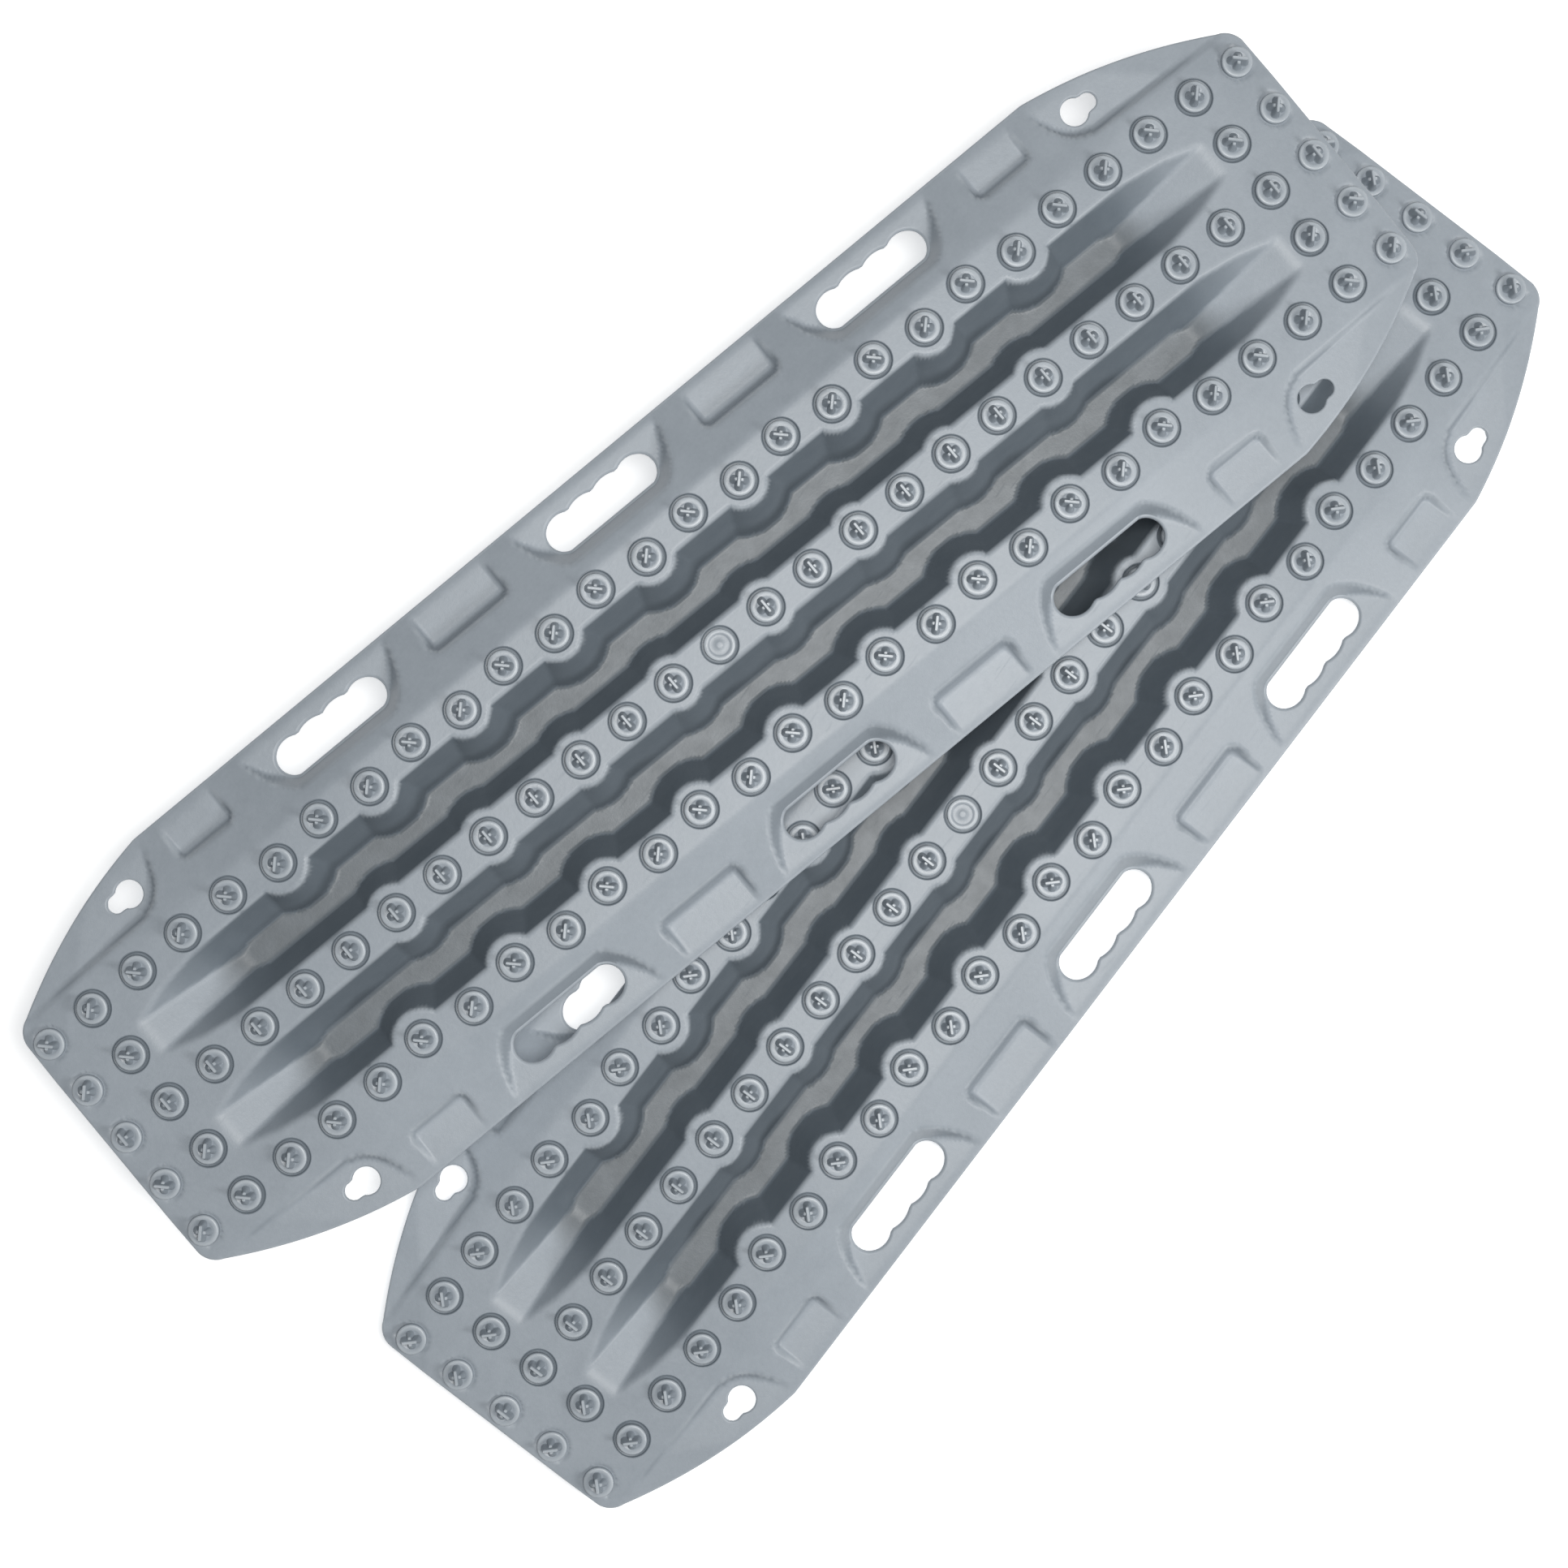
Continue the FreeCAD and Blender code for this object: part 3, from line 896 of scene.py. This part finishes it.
class Signal:
    """One shader value; arithmetic on it adds Math nodes."""

    def __init__(self, bench: "NodeBench", socket: bpy.types.NodeSocket) -> None:
        """Wraps an output socket."""
        self.bench = bench
        self.socket = socket

    def _math(self, operation: str, a: "Signal | float", b: "Signal | float") -> "Signal":
        """Adds one Math node."""
        return self.bench.add("ShaderNodeMath", {"operation": operation}, {0: a, 1: b})[0]

    def __add__(self, other: "Signal | float") -> "Signal":
        """Sum."""
        return self._math("ADD", self, other)

    __radd__ = __add__

    def __sub__(self, other: "Signal | float") -> "Signal":
        """Difference."""
        return self._math("SUBTRACT", self, other)

    def __rsub__(self, other: float) -> "Signal":
        """Reflected difference."""
        return self._math("SUBTRACT", other, self)

    def __mul__(self, other: "Signal | float") -> "Signal":
        """Product."""
        return self._math("MULTIPLY", self, other)

    __rmul__ = __mul__

    def clamp(self) -> "Signal":
        """The value held between 0 and 1."""
        return self.bench.add("ShaderNodeClamp", {}, {0: self})[0]


class NodeBench:
    """Builds the nodes of one material."""

    def __init__(self, name: str) -> None:
        """Makes an empty material with a surface shader."""
        self.material = bpy.data.materials.new(name)
        self.material.use_nodes = True
        self.tree = self.material.node_tree
        self.tree.nodes.clear()

    def add(self, kind: str, settings: dict[str, object],
            inputs: dict[int | str, object]) -> list[Signal]:
        """Adds any node.

        Args:
            kind: The node's type.
            settings: Properties set first; "stops" fills a colour ramp.
            inputs: A value or a Signal for each socket.

        Returns:
            One Signal for each output.
        """
        node = self.tree.nodes.new(kind)
        for key, value in settings.items():
            if key == "stops":
                self._fill_ramp(node.color_ramp, value)
            else:
                setattr(node, key, value)
        for key, value in inputs.items():
            if isinstance(value, Signal):
                self.tree.links.new(value.socket, node.inputs[key])
            else:
                node.inputs[key].default_value = value
        return [Signal(self, out) for out in node.outputs]

    @staticmethod
    def _fill_ramp(ramp: bpy.types.ColorRamp, stops: Sequence[tuple[float, float]]) -> None:
        """Sets a grey colour ramp from (position, value) stops."""
        while len(ramp.elements) < len(stops):
            ramp.elements.new(0.5)
        for element, (position, value) in zip(ramp.elements, stops):
            element.position = position
            element.color = (value, value, value, 1.0)

    def place(self) -> Signal:
        """Coordinates fixed to the object, in metres."""
        return self.add("ShaderNodeTexCoord", {}, {})[3]

    def noise(self, place: Signal, scale: float, detail: float, rough: float = 0.5) -> Signal:
        """Cloudy value around 0.5.

        Args:
            place: Coordinates.
            scale: Features per metre.
            detail: Octaves.
            rough: Weight of the finer octaves.

        Returns:
            The value.
        """
        return self.add("ShaderNodeTexNoise", {},
                        {"Vector": place, "Scale": scale, "Detail": detail,
                         "Roughness": rough})[0]

    def ramp(self, value: Signal, stops: Sequence[tuple[float, float]]) -> Signal:
        """A value remapped through (position, value) stops."""
        return self.add("ShaderNodeValToRGB", {"stops": stops}, {"Fac": value})[0]

    def blend(self, share: Signal, low: Signal | tuple[float, ...],
              high: Signal | tuple[float, ...]) -> Signal:
        """Colour between two colours.

        Args:
            share: 0 for the first and 1 for the second.
            low: First colour.
            high: Second colour.

        Returns:
            The mixed colour.
        """
        return self.add("ShaderNodeMix", {"data_type": "RGBA"}, {0: share, 6: low, 7: high})[2]

    def stretch(self, place: Signal, by: tuple[float, float, float]) -> Signal:
        """Coordinates scaled along each axis."""
        return self.add("ShaderNodeVectorMath", {"operation": "MULTIPLY"}, {0: place, 1: by})[0]


def linear(red: int, green: int, blue: int) -> tuple[float, float, float, float]:
    """Colour from its everyday 0 to 255 values.

    Args:
        red: Red.
        green: Green.
        blue: Blue.

    Returns:
        The colour for a shader socket.
    """
    def one(v: int) -> float:
        """One channel of the colour."""
        s = v / 255
        return s / 12.92 if s <= 0.04045 else ((s + 0.055) / 1.055) ** 2.4

    return one(red), one(green), one(blue), 1.0


@dataclass(frozen=True)
class MouldedPlastic:
    """Satin, through-coloured moulded nylon, with faint flow clouds, painted shade on walls and
    trough floors, and a painted highlight on convex edges.
    """

    name: str
    body: tuple[float, float, float, float]
    dark: tuple[float, float, float, float]
    # The third colour is a painted highlight for convex edges.
    highlight_tone: tuple[float, float, float, float]
    # Painted shade colours: the first for steep walls, seat grooves and blade sides, the second
    # for trough floors.
    wall: tuple[float, float, float, float] = (0.135, 0.165, 0.195, 1.0)
    floor_shade_tone: tuple[float, float, float, float] = (0.138, 0.156, 0.170, 1.0)
    roughness: float = 0.42
    grain: float = 0.22
    # Strength of the painted edge highlight.
    highlight_strength: float = 0.5

    def build(self) -> bpy.types.Material:
        """Makes the material.

        Returns:
            The material.
        """
        bench = NodeBench(self.name)
        place = bench.place()
        clouds = bench.noise(place, 7.0, 4.0, 0.55)
        mottle = bench.noise(place, 60.0, 3.0, 0.6)
        speck = bench.noise(place, 1500.0, 2.0, 0.6)
        pebble = bench.noise(place, 330.0, 3.0, 0.65)
        streak = bench.noise(bench.stretch(place, (40.0, 420.0, 420.0)), 1.0, 3.0, 0.6)
        tone = (bench.ramp(clouds, ((0.3, 0.0), (0.7, 1.0))) * 0.40
                + bench.ramp(mottle, ((0.3, 0.0), (0.7, 1.0))) * 0.22
                + bench.ramp(pebble, ((0.3, 0.0), (0.7, 1.0))) * 0.24
                + bench.ramp(speck, ((0.3, 0.0), (0.7, 1.0))) * 0.14)
        colour = bench.blend(tone, self.dark, self.body)
        # Painted highlight: a lighter tone laid on convex edges and cleat tips.
        rim = bench.add("ShaderNodeAttribute", {"attribute_name": "rim"}, {})[2]
        edge_highlight = (rim * (0.35 + mottle) * self.highlight_strength).clamp()
        # Painted shade: darker tones laid on steep walls and on trough floors.
        wall = bench.add("ShaderNodeAttribute", {"attribute_name": "painted_wall_shade"}, {})[2]
        # Painted shade colour for the trough floors, mixed in by depth.
        floor_shade = bench.add("ShaderNodeAttribute", {"attribute_name": "floor_shade"}, {})[2]
        colour = bench.blend((floor_shade * (0.55 + mottle * 0.5)).clamp(), colour, self.floor_shade_tone)
        colour = bench.blend((wall * (0.72 + mottle * 0.25)).clamp(), colour, self.wall)
        colour = bench.blend(edge_highlight, colour, self.highlight_tone)
        scratch = bench.ramp(streak, ((0.62, 0.0), (0.70, 1.0)))
        rough = (self.roughness + (mottle - 0.5) * 0.10 + scratch * 0.07 - edge_highlight * 0.06)
        height = speck * 0.30 + pebble * 0.45 + mottle * 0.15 + streak * 0.10
        bump = bench.add("ShaderNodeBump", {},
                         {"Strength": self.grain, "Distance": 0.0010, "Height": height})[0]
        shader = bench.add("ShaderNodeBsdfPrincipled", {},
                           {"Base Color": colour, "Roughness": rough.clamp(), "Normal": bump,
                            "IOR": 1.50, "Specular IOR Level": 0.5})[0]
        bench.add("ShaderNodeOutputMaterial", {}, {"Surface": shader})
        return bench.material


@dataclass(frozen=True)
class FloorPaint:
    """Plain pale studio floor, clear when seen from below."""

    name: str = "studio_floor"
    tone: tuple[float, float, float, float] = (0.90, 0.90, 0.90, 1.0)

    def build(self) -> bpy.types.Material:
        """Makes the material.

        Returns:
            The material.
        """
        bench = NodeBench(self.name)
        cloud = bench.noise(bench.place(), 1.2, 2.0)
        dim = tuple(0.985 * v for v in self.tone[:3]) + (1.0,)
        shader = bench.add("ShaderNodeBsdfPrincipled", {},
                           {"Base Color": bench.blend(cloud, dim, self.tone),
                            "Roughness": 0.95, "Specular IOR Level": 0.1,
                            "Emission Color": self.tone, "Emission Strength": 0.55})[0]
        behind = bench.add("ShaderNodeNewGeometry", {}, {})[6]
        clear = bench.add("ShaderNodeBsdfTransparent", {}, {})[0]
        sides = bench.add("ShaderNodeMixShader", {}, {0: behind, 1: shader, 2: clear})[0]
        bench.add("ShaderNodeOutputMaterial", {}, {"Surface": sides})
        return bench.material


# ---------------------------------------------------------------- the boards

class BoardName(Enum):
    """The two boards of the pair."""

    LOWER = "lower"
    UPPER = "upper"

    @property
    def body(self) -> str:
        """Name of the CAD body that the board's pieces ride on."""
        return self.value + "_board"


@dataclass(frozen=True)
class CleatSpot:
    """One cleat: its row, its place on the deck and its turn in degrees."""

    row: str
    x: float
    y: float
    turn: float


@dataclass(frozen=True)
class CleatLayout:
    """Where every cleat of a board sits."""

    form: BoardForm

    def spots(self) -> list[CleatSpot]:
        """Every toothed cleat of one board, row by row."""
        form = self.form
        found = []
        for k in range(-form.last_k, form.last_k + 1):
            end = {-form.last_k: "near_end", form.last_k: "far_end"}.get(k)
            if k:
                found.append(CleatSpot(end or "centre_row", k * form.pitch, 0.0, 90.0))
            for side, row in ((1, "left_row"), (-1, "right_row")):
                y = form.bosses.outer_y if abs(k) in form.bosses.outer_k else form.row_y
                turn = side * (45.0 if k % 2 == 0 else -45.0)
                found.append(CleatSpot(end or row, k * form.pitch, side * y, turn))
                if end:
                    found.append(CleatSpot(end, k * form.pitch, side * form.mid_y, -turn))
        return found + self.end_row()

    def end_row(self) -> list[CleatSpot]:
        """The five cleats along each end edge."""
        found = []
        for sign, end in ((-1, "near_end"), (1, "far_end")):
            x = sign * self.form.end_row_x
            found.append(CleatSpot(end, x, 0.0, 90.0))
            for side in (1, -1):
                found.append(CleatSpot(end, x, side * self.form.row_y, -45.0 * side))
                found.append(CleatSpot(end, x, side * self.form.mid_y, 45.0 * side))
        return found


class CleatRow:
    """One named group of cleats, seated square to the sloping deck."""

    def __init__(self, form: BoardForm, cleat: Cleat, spots: Sequence[CleatSpot]) -> None:
        """Keeps the form, the cleat and the group's spots."""
        self.form = form
        self.cleat = cleat
        self.spots = spots

    def seated(self, points: Array, spot: CleatSpot) -> Array:
        """A cleat's points turned, tilted and moved to its spot.

        Args:
            points: The points about the cleat's own axis.
            spot: Where the cleat goes.

        Returns:
            The points in the board's own frame.
        """
        turn, tilt = math.radians(spot.turn), math.atan(self.form.slope(spot.x))
        c, s, tc, ts = math.cos(turn), math.sin(turn), math.cos(tilt), math.sin(tilt)
        x, y, z = points.T
        x, y = c * x - s * y, s * x + c * y
        x, z = tc * x + ts * z, -ts * x + tc * z
        deck = float(self.form.deck(np.array([spot.x]))[0])
        return np.stack([x + spot.x, y + spot.y, z + deck], axis=1)

    def build(self, place: Place, name: str, finish: bpy.types.Material) -> bpy.types.Object:
        """Makes the row as one piece.

        Args:
            place: Where the board lies.
            name: The piece's name.
            finish: Its material.

        Returns:
            The object.
        """
        one = self.cleat.whole()
        points, shade = np.concatenate(one.points), np.concatenate(one.shades)
        parts = MeshParts()
        for spot in self.spots:
            parts.add(place.apply(self.seated(points, spot)), *one.faces, shade=shade)
        return parts.build(name, finish, crisp=38.0)


@dataclass
class Board:
    """One board: deck skin, underside, cleat rows and gate plug."""

    name: BoardName
    place: Place
    form: BoardForm
    cleat: Cleat
    skin_finish: bpy.types.Material
    cleat_finish: bpy.types.Material

    def adopt(self, piece: bpy.types.Object, node: str) -> bpy.types.Object:
        """Hands a piece to the frame in place of a CAD node.

        Args:
            piece: The finished piece.
            node: The node's name without the board's.

        Returns:
            The same piece.
        """
        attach(piece, self.name.body)
        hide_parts(f"{self.name.value}_{node}")
        LOG.info("%s: %d faces, rides on %s", piece.name, len(piece.data.polygons),
                 self.name.body)
        return piece

    def build_skins(self, top: MeshParts, bottom: MeshParts) -> None:
        """Places the deck skin and the underside.

        Args:
            top: Upper skin in the board's own frame.
            bottom: Lower skin in the board's own frame.
        """
        for parts, label in ((top, "deck_skin"), (bottom, "underside")):
            piece = parts.moved(self.place.apply).build(f"{self.name.value}_{label}",
                                                        self.skin_finish)
            self.adopt(piece, "shell")

    def build_cleats(self) -> None:
        """Builds the five cleat groups."""
        spots = CleatLayout(self.form).spots()
        for row in sorted({spot.row for spot in spots}):
            mine = [spot for spot in spots if spot.row == row]
            label = f"{self.name.value}_{row}_teeth"
            piece = CleatRow(self.form, self.cleat, mine).build(self.place, label,
                                                                self.cleat_finish)
            self.adopt(piece, f"{row}_cleats")

    def build_plug(self) -> None:
        """Builds the blank disc in the middle of the board."""
        lift = np.array([0.0, 0.0, self.form.deck_z])
        disc = self.cleat.blank().moved(lambda points: self.place.apply(points + lift))
        piece = disc.build(f"{self.name.value}_gate_disc", self.cleat_finish, crisp=38.0)
        self.adopt(piece, "gate_plug")


@dataclass(frozen=True)
class Studio:
    """Pale floor, soft lights and a camera straight above the pair."""

    aim: tuple[float, float] = (-0.0518, -0.0340)
    level: float = 0.082
    away: float = 2.400
    lens: float = 77.5
    turn: float = -52.6

    def light(self, name: str, spot: tuple[float, float, float], size: float, power: float,
              tint: tuple[float, float, float]) -> None:
        """Adds one square soft light aimed at the pair.

        Args:
            name: The light's name.
            spot: Where it hangs.
            size: Side of its square.
            power: Its power in watts.
            tint: Its colour.
        """
        lamp = bpy.data.lights.new(name, "AREA")
        lamp.size, lamp.energy, lamp.color = size, power, tint
        thing = bpy.data.objects.new(name, lamp)
        thing.location = spot
        towards = Vector((0, 0, 0.05)) - Vector(spot)
        thing.rotation_euler = towards.to_track_quat("-Z", "Y").to_euler()
        bpy.context.scene.collection.objects.link(thing)

    def sky(self) -> None:
        """Adds a dim cool sky that looks pale behind the pair."""
        world = bpy.data.worlds.new("sky")
        world.use_nodes = True
        nodes, links = world.node_tree.nodes, world.node_tree.links
        dim = nodes["Background"]
        dim.inputs["Color"].default_value = (0.86, 0.93, 1.0, 1.0)
        dim.inputs["Strength"].default_value = 0.13
        pale = nodes.new("ShaderNodeBackground")
        pale.inputs["Color"].default_value = (0.93, 0.94, 0.95, 1.0)
        seen, mix = nodes.new("ShaderNodeLightPath"), nodes.new("ShaderNodeMixShader")
        links.new(seen.outputs["Is Camera Ray"], mix.inputs[0])
        links.new(dim.outputs[0], mix.inputs[1])
        links.new(pale.outputs[0], mix.inputs[2])
        links.new(mix.outputs[0], nodes["World Output"].inputs["Surface"])
        bpy.context.scene.world = world

    def build(self) -> None:
        """Builds the floor, the lights, the sky and the camera."""
        parts = MeshParts()
        far = 9.0
        parts.add(np.array([(-far, -far, 0.0), (far, -far, 0.0), (far, far, 0.0),
                            (-far, far, 0.0)]), np.array([[0, 1, 2, 3]]))
        floor = parts.build("studio_floor", FloorPaint().build())
        floor.location.z = -0.0005
        self.light("overhead", (0.15, -0.25, 2.9), 0.9, 55.0, (1.0, 0.99, 0.97))
        self.light("key", (0.45, -2.1, 1.9), 0.6, 27.0, (1.0, 0.985, 0.965))
        self.sky()
        bpy.context.scene.view_settings.view_transform = "Standard"
        cam = bpy.data.cameras.new("camera")
        cam.lens, cam.sensor_width = self.lens, 36.0
        eye = bpy.data.objects.new("camera", cam)
        eye.location = (self.aim[0], self.aim[1], self.level + self.away)
        eye.rotation_euler = (0.0, 0.0, math.radians(self.turn))
        bpy.context.scene.collection.objects.link(eye)
        bpy.context.scene.camera = eye


def board_place(name: BoardName, turn: float) -> Place:
    """Reads a board's place from the CAD frame.

    Args:
        name: Which board.
        turn: Its turn about the vertical, in degrees.

    Returns:
        The board's place.
    """
    low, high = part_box(f"{name.value}_gate_plug")
    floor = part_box(f"{name.value}_shell")[0].z
    middle = (low + high) / 2 / MM
    return Place((middle.x, middle.y), floor / MM, math.radians(turn))


def main() -> None:
    """Builds the pair and its studio, and reports each piece."""
    logging.basicConfig(level=logging.INFO, format="%(message)s")
    form = BoardForm()
    seat = Bead(0.0, ((0.35, 0.05), (0.65, 0.22), (0.85, 0.55), (0.95, 1.1), (1.1, 1.9),
                      (1.5, 2.1), (3.6, 2.1)))
    mesher = SkinMesher(form, {
        EdgeKind.OUTLINE: rolled(1.7, form.wall), EdgeKind.HAND_SLOT: rolled(2.2, form.wall),
        EdgeKind.KEYHOLE: rolled(1.3, form.wall), EdgeKind.SEAT: seat})
    top = mesher.top(2.2, 1.2)
    bottom = mesher.bottom(4.4)
    # The third colour of each finish is its painted edge highlight.
    skin = MouldedPlastic("moulded_grey", linear(165, 173, 181), linear(146, 154, 162),
                          linear(186, 193, 199)).build()
    teeth = MouldedPlastic("moulded_grey_cleats", linear(163, 171, 179), linear(142, 150, 158),
                           linear(192, 199, 205), roughness=0.36, highlight_strength=0.7).build()
    cleat = Cleat()
    for name, turn in ((BoardName.LOWER, 0.0), (BoardName.UPPER, -13.0)):
        board = Board(name, board_place(name, turn), form, cleat, skin, teeth)
        board.build_skins(top, bottom)
        board.build_cleats()
        board.build_plug()
    Studio().build()


if __name__ == "__main__":
    main()
